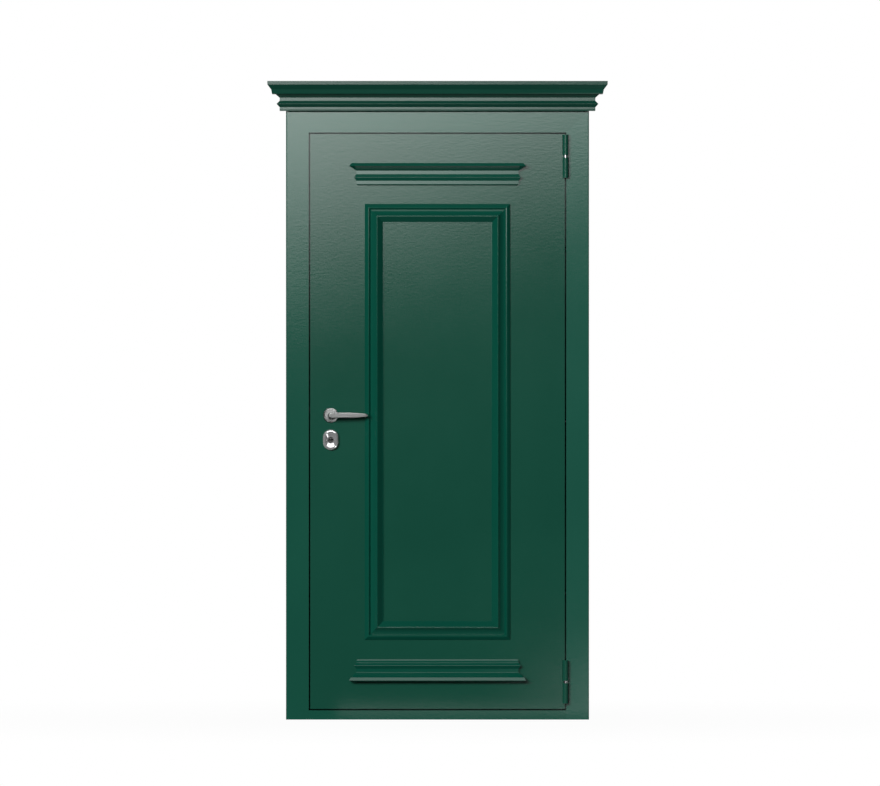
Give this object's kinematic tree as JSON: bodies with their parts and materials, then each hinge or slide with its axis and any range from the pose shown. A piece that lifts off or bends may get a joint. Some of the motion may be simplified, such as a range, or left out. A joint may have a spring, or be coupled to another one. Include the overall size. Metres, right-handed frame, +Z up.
{
  "type": "front door with frame",
  "caption": "Outward-opening steel entrance door in its frame, with cornice, moulded ledges, a tall panel moulding, barrel hinges, lever handle, latch and deadbolt lock.",
  "frame": {"origin": "on the floor under the threshold, midway between the jambs, on the wall's outer face", "axes": "+X to the right seen from outside, +Y into the room, +Z up"},
  "size_m": [1.178, 0.1821, 2.211],
  "materials": {
    "green_paint": "satin",
    "moulding_paint": "satin",
    "satin_nickel": "satin",
    "chrome_plate": "polished",
    "bright_steel": "polished",
    "zinc_steel": "satin",
    "black_oxide": "satin",
    "seal_rubber": "matte",
    "mineral_wool": "matte",
    "inner_board": "satin"
  },
  "bodies": {
    "frame": {"hinge_jamb": "green_paint", "lock_jamb": "green_paint", "frame_head": "green_paint", "threshold": "green_paint", "frame_seal": "seal_rubber", "cornice_front": "green_paint", "cornice_left_return": "green_paint", "cornice_right_return": "green_paint", "cornice_screws": "zinc_steel", "strike_plate": "zinc_steel", "strike_screws": "zinc_steel", "upper_frame_knuckle": "green_paint", "lower_frame_knuckle": "green_paint", "upper_hinge_pin": "bright_steel", "lower_hinge_pin": "bright_steel", "upper_hinge_bearing": "bright_steel", "lower_hinge_bearing": "bright_steel"},
    "leaf": {"outer_skin": "green_paint", "hinge_stile": "green_paint", "lock_stile": "green_paint", "top_rail": "green_paint", "bottom_rail": "green_paint", "stiffening_ribs": "zinc_steel", "insulation": "mineral_wool", "inner_panel": "inner_board", "leaf_seal": "seal_rubber", "dog_pins": "black_oxide", "upper_leaf_knuckle": "green_paint", "lower_leaf_knuckle": "green_paint", "upper_ledge": "moulding_paint", "lower_ledge": "moulding_paint", "panel_moulding_left": "moulding_paint", "panel_moulding_right": "moulding_paint", "panel_moulding_top": "moulding_paint", "panel_moulding_bottom": "moulding_paint", "lock_case": "zinc_steel", "lock_faceplate": "zinc_steel", "faceplate_screws": "zinc_steel", "cylinder_screw": "zinc_steel", "cylinder_body": "chrome_plate", "cylinder_plug": "black_oxide", "guard_disc": "chrome_plate", "outer_escutcheon": "chrome_plate", "inner_escutcheon": "chrome_plate", "outer_rose": "satin_nickel", "inner_rose": "satin_nickel", "rose_bolts": "black_oxide", "latch_spring": "zinc_steel"},
    "lever_set": {"outer_lever": "satin_nickel", "inner_lever": "satin_nickel", "spindle": "zinc_steel", "follower": "zinc_steel", "grub_screws": "black_oxide"},
    "latch": {"latch_bolt": "black_oxide"},
    "turn_set": {"thumbturn": "satin_nickel", "cylinder_cam": "chrome_plate"},
    "bolt_set": {"deadbolts": "bright_steel"}
  },
  "joints": [
    {"name": "leaf_swing", "type": "hinge", "parent": "frame", "child": "leaf", "pos_m": [0.4435, -0.0245, 1], "axis": [0, 0, 1], "range_deg": [0, 170]},
    {"name": "lever_turn", "type": "hinge", "parent": "leaf", "child": "lever_set", "pos_m": [-0.37, 0.018, 1.0545], "axis": [0, 1, 0], "range_deg": [0, 40], "stiffness_Nm_per_rad": 1.5, "springref_deg": -28.65},
    {"name": "latch_slide", "type": "slide", "parent": "leaf", "child": "latch", "axis": [1, 0, 0], "range_m": [0, 0.0126], "deforming": ["latch_spring"]},
    {"name": "thumb_turn", "type": "hinge", "parent": "leaf", "child": "turn_set", "pos_m": [-0.37, 0.018, 0.9695], "axis": [0, -1, 0], "range_deg": [0, 360]},
    {"name": "bolt_throw", "type": "slide", "parent": "leaf", "child": "bolt_set", "axis": [-1, 0, 0], "range_m": [0, 0.02]}
  ],
  "couplings": [
    {"joint": "latch_slide", "follows": "lever_turn", "m_per_rad": 0.018},
    {"joint": "thumb_turn", "follows": "bolt_throw", "rad_per_m": 314.16}
  ]
}
